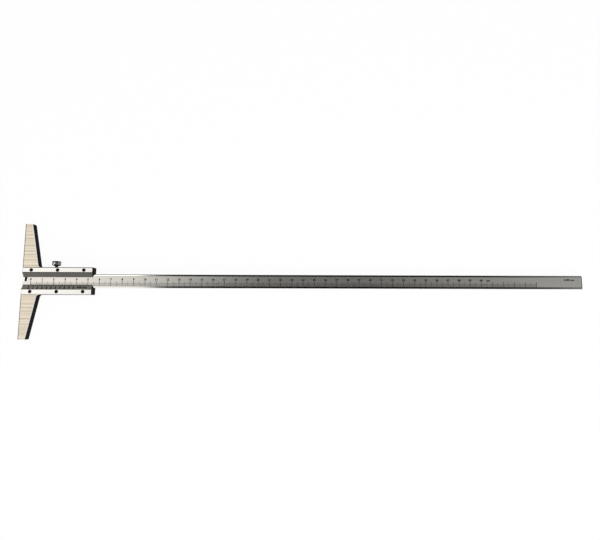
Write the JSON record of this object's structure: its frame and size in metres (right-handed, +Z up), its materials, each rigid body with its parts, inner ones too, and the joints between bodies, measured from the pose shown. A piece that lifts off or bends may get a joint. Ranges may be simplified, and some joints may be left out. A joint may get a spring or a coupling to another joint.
{
  "type": "vernier depth gauge",
  "caption": "Long slim steel beam with millimetre marks sliding through a T-shaped base with tapered arms, bevelled vernier plates and a locking screw, for measuring depths.",
  "frame": {"origin": "on the measuring face of the base, at its lower edge on the beam's centre line; the part lies on its back with the underside at Z = 0", "axes": "+X runs along the beam away from the measuring face, +Y points across to the side with the locking screw, +Z points up out of the scale"},
  "size_m": [0.5001, 0.1024, 0.008],
  "materials": {
    "frame_steel": "ground",
    "beam_steel": "satin",
    "plate_chrome": "satin",
    "vernier_chrome": "satin",
    "screw_black": "blackened",
    "spring_bronze": "satin",
    "pad_brass": "turned",
    "lock_steel": "knurled"
  },
  "bodies": {
    "frame": {"base_frame": "frame_steel", "cover_plate": "plate_chrome", "vernier_plate": "vernier_chrome", "gib_spring": "spring_bronze", "cover_screw_1": "screw_black", "cover_screw_2": "screw_black", "cover_screw_3": "screw_black", "vernier_screw_1": "screw_black", "vernier_screw_2": "screw_black", "vernier_screw_3": "screw_black"},
    "beam": {"beam": "beam_steel"},
    "lock_pad": {"lock_pad": "pad_brass"},
    "lock_screw": {"lock_screw": "lock_steel"}
  },
  "joints": [
    {"name": "beam_slide", "type": "slide", "parent": "frame", "child": "beam", "axis": [-1, 0, 0], "range_m": [0, 0.4008]},
    {"name": "lock_pad_travel", "type": "slide", "parent": "frame", "child": "lock_pad", "axis": [0, 1, 0], "range_m": [0, 0.0005]},
    {"name": "lock_screw_turn", "type": "hinge", "parent": "lock_pad", "child": "lock_screw", "pos_m": [0.0286, 0.0141, 0.00415], "axis": [0, 1, 0], "range_deg": [0, 360]}
  ],
  "couplings": [
    {"joint": "lock_screw_turn", "follows": "lock_pad_travel", "rad_per_m": 12566}
  ]
}
